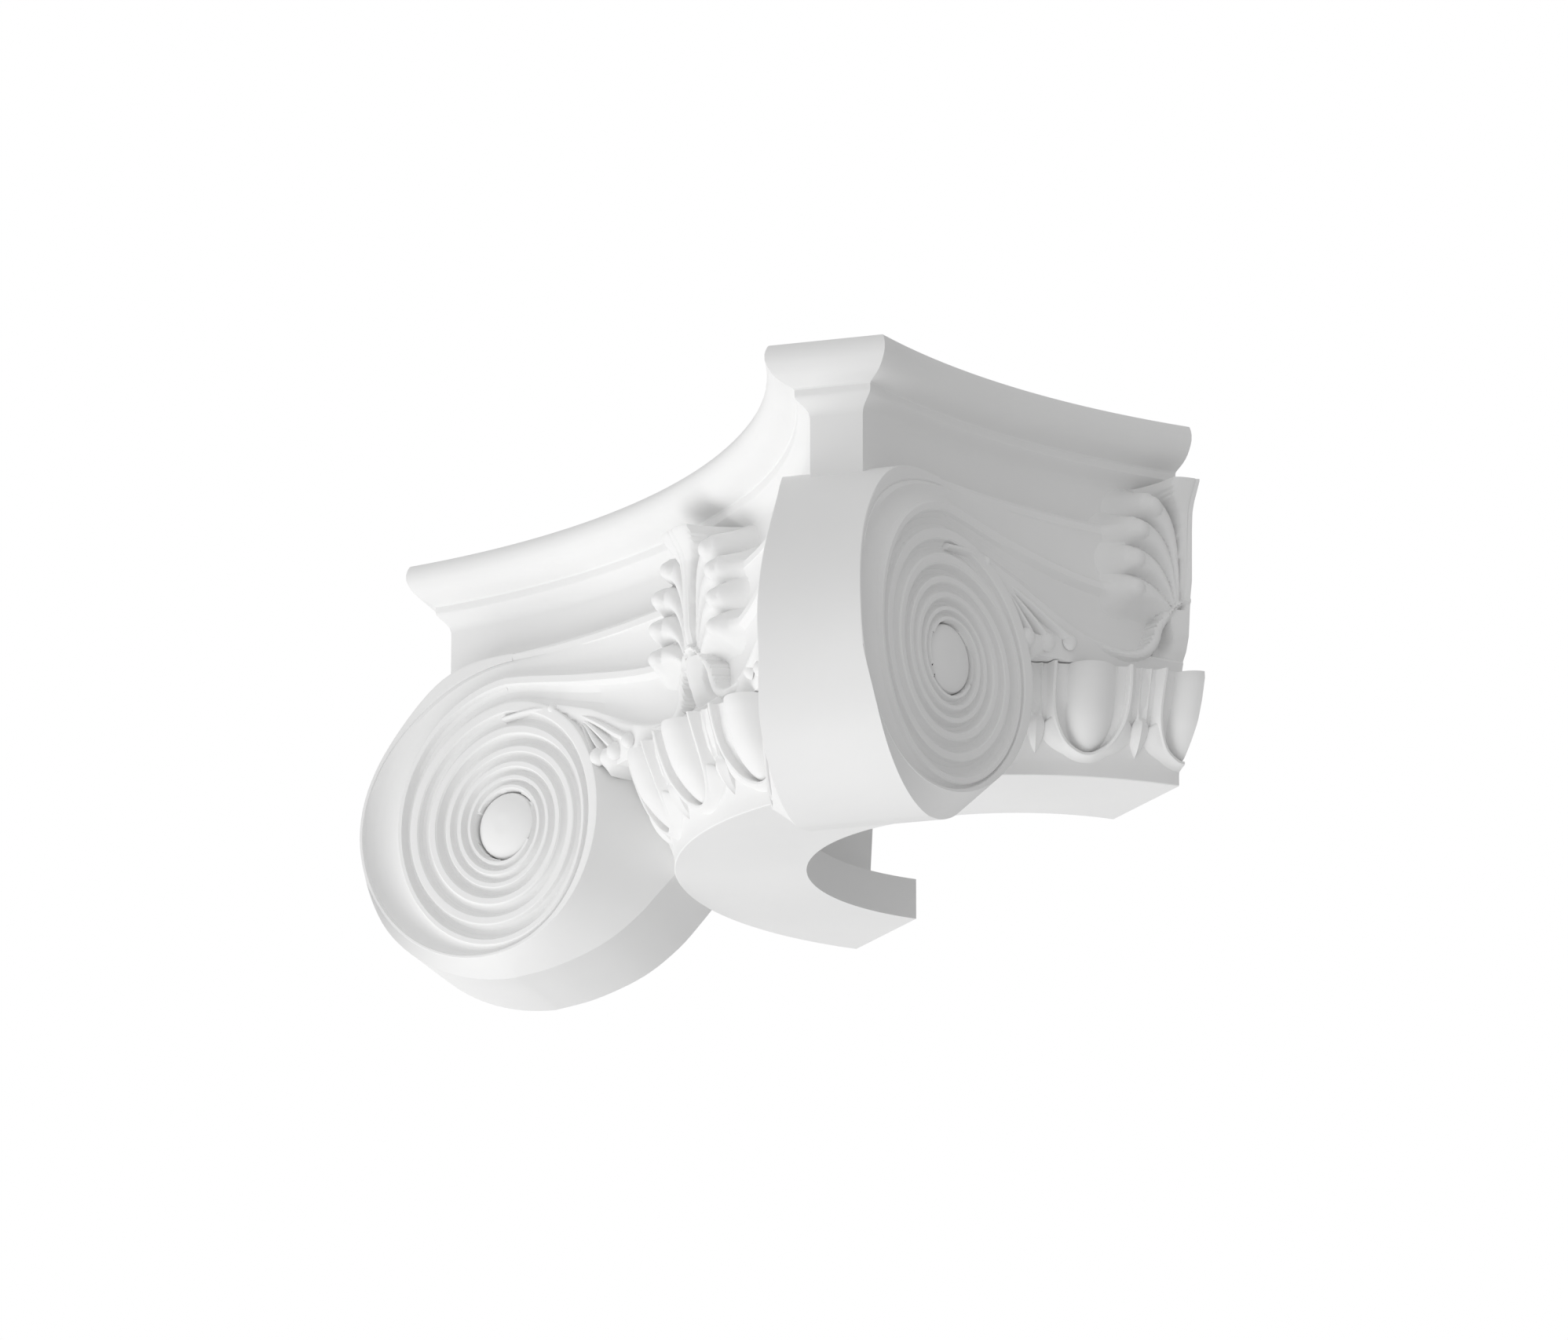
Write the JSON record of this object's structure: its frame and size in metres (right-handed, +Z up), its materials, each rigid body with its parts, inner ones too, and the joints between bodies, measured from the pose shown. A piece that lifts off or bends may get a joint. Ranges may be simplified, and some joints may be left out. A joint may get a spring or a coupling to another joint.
{
  "type": "half-round ionic capital",
  "caption": "Half-round angular Ionic capital with spiral volutes, hollow-sided abacus, palmettes and an egg-and-dart belt, hollow behind.",
  "frame": {"origin": "centre of the flat back of the closed top plate, on the wall plane, 149.5 mm above the underside of the neck", "axes": "+X along the wall, +Y into the wall (the capital stands out towards -Y), +Z up"},
  "size_m": [0.456, 0.228, 0.198],
  "materials": {
    "foam": "white primer on moulded hard foam, matt, ready to paint"
  },
  "bodies": {
    "root": {"capital": "foam"}
  },
  "joints": []
}
